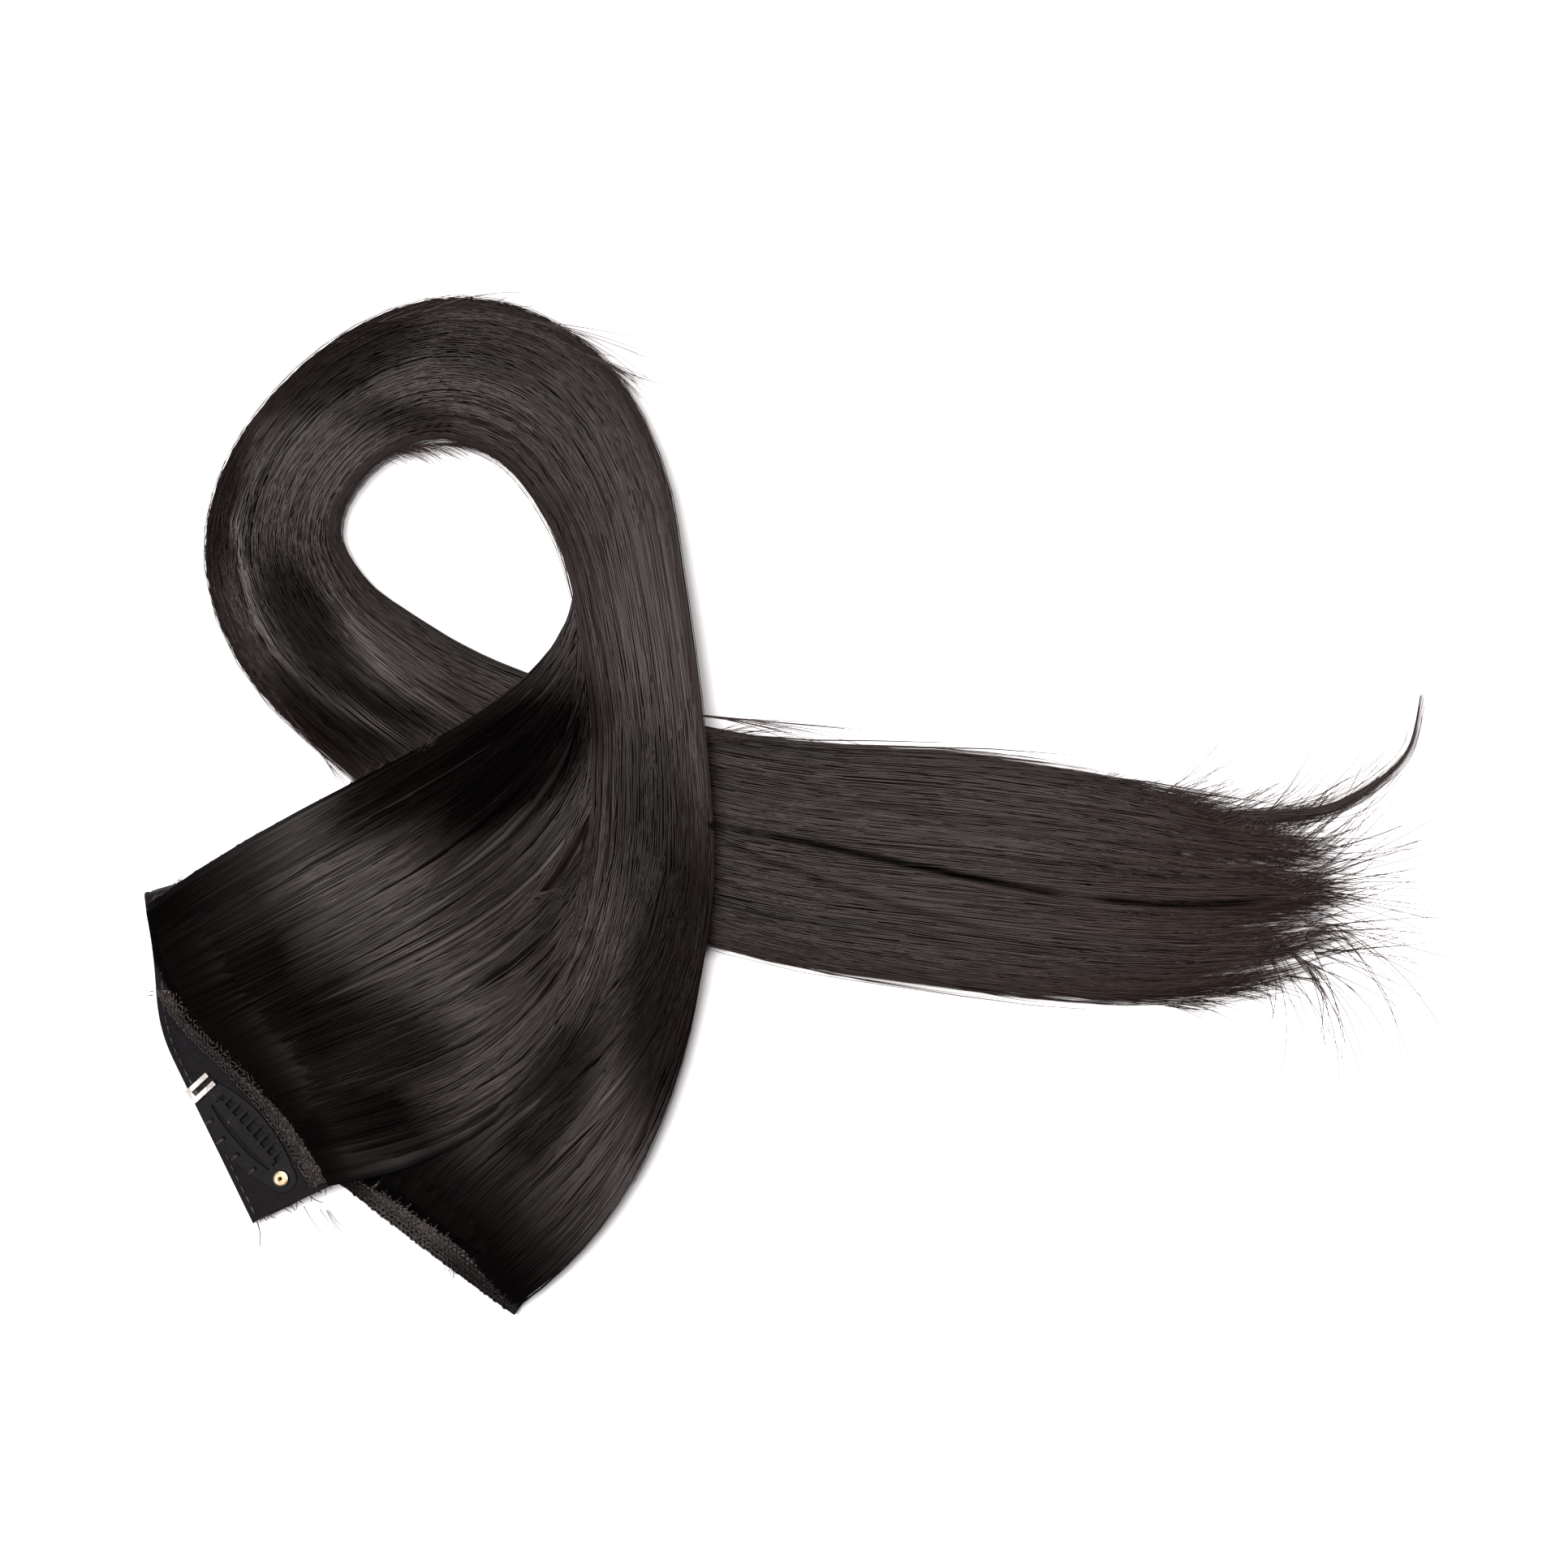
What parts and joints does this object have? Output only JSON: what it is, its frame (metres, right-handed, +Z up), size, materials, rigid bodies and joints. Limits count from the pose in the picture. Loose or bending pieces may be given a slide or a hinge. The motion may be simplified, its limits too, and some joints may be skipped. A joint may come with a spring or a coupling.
{
  "type": "clip-in hair extension",
  "caption": "Clip-in hair extension of straight dark brown hair on a folded black sewing band with a snap comb clip, lying in one loop with its tail to the right.",
  "frame": {"origin": "middle of the footprint, on the surface that the extension lies on", "axes": "+X along the tail, from the loop towards the tips, +Y from the band towards the top of the loop, +Z up off the surface"},
  "size_m": [0.2832, 0.2244, 0.025],
  "materials": {
    "hair": "straight dark brown hair, glossy along the strand",
    "band": "matt woven black ribbon",
    "track": "matt sewn track of hair ends and thread",
    "clip_paint": "semi-gloss black paint",
    "bare_steel": "bare bright steel",
    "rivet": "pale polished brass"
  },
  "bodies": {
    "extension": {"weft_band": "band", "upper_track": "track", "lower_track": "track", "hair": "hair", "clip_frame": "clip_paint", "clip_rivet": "rivet", "clip_loop": "bare_steel", "hidden_clip_middle": "clip_paint", "hidden_clip_end": "clip_paint"},
    "comb": {"clip_comb": "clip_paint"}
  },
  "joints": [
    {"name": "clip_snap", "type": "hinge", "parent": "extension", "child": "comb", "pos_m": [-0.119, -0.07218, 0.0083], "axis": [0.6628, -0.7462, 0.062], "range_deg": [0, 35]}
  ]
}
